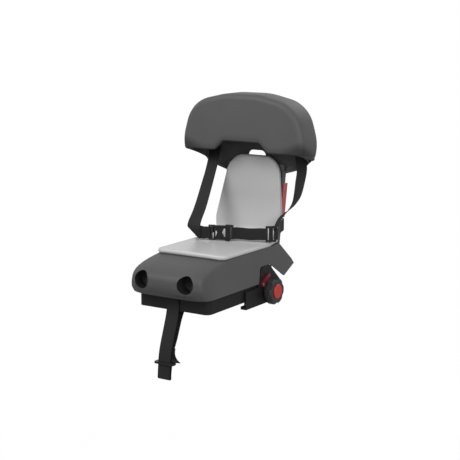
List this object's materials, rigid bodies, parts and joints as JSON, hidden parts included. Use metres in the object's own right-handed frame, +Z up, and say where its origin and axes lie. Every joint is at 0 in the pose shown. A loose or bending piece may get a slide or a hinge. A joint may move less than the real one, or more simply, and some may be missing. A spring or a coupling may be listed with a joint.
{
  "type": "rear child bicycle seat",
  "caption": "Rear child seat for a bicycle carrier: moulded seat base on a clamp tray, grey cushion, leaning back with wide headrest, buckled harness and hanging safety strap.",
  "frame": {"origin": "middle of the mounting tray's underside, which lies on the carrier", "axes": "+Z up, the child looks along -Y and +X is the child's left"},
  "size_m": [0.2992, 0.357, 0.5517],
  "materials": {
    "shell_grey": "fine moulded grain",
    "tray_black": "moulded grain",
    "cushion_grey": "soft padded cover",
    "webbing_black": "woven webbing",
    "fitting_black": "satin",
    "knob_black": "satin",
    "signal_red": "satin gloss",
    "reflector_red": "prismatic",
    "steel": "zinc plated"
  },
  "bodies": {
    "seat": {"seat_shell": "shell_grey", "back_shell": "shell_grey", "mounting_tray": "tray_black", "rear_reflector": "reflector_red", "cushion": "cushion_grey", "shoulder_strap_left": "webbing_black", "shoulder_strap_right": "webbing_black", "lap_strap_left": "webbing_black", "lap_strap_right": "webbing_black", "buckle_web": "webbing_black", "buckle_socket": "fitting_black", "buckle_plug": "fitting_black", "strap_adjuster": "fitting_black", "safety_strap": "webbing_black", "strap_slider": "fitting_black", "fixed_jaw": "tray_black", "clamp_spindle": "steel", "spindle_washer": "steel", "spindle_nut": "steel", "tray_screws": "steel"},
    "jaw": {"sliding_jaw": "tray_black", "thrust_washer": "steel", "catch_pin": "steel"},
    "knob": {"clamp_knob": "knob_black", "knob_insert": "steel", "knob_cap": "signal_red"},
    "catch": {"safety_catch": "signal_red"}
  },
  "joints": [
    {"name": "jaw_slide", "type": "slide", "parent": "seat", "child": "jaw", "axis": [1, 0, 0], "range_m": [0, 0.012]},
    {"name": "knob_spin", "type": "hinge", "parent": "jaw", "child": "knob", "pos_m": [0.1, 0.084, 0.01], "axis": [1, 0, 0], "range_deg": [0, 1440]},
    {"name": "catch_pivot", "type": "hinge", "parent": "jaw", "child": "catch", "pos_m": [0.093, 0.057, 0.028], "axis": [1, 0, 0], "range_deg": [0, 18], "stiffness_Nm_per_rad": 0.02, "springref_deg": -11.46}
  ],
  "couplings": [
    {"joint": "knob_spin", "follows": "jaw_slide", "rad_per_m": 2094.4}
  ]
}
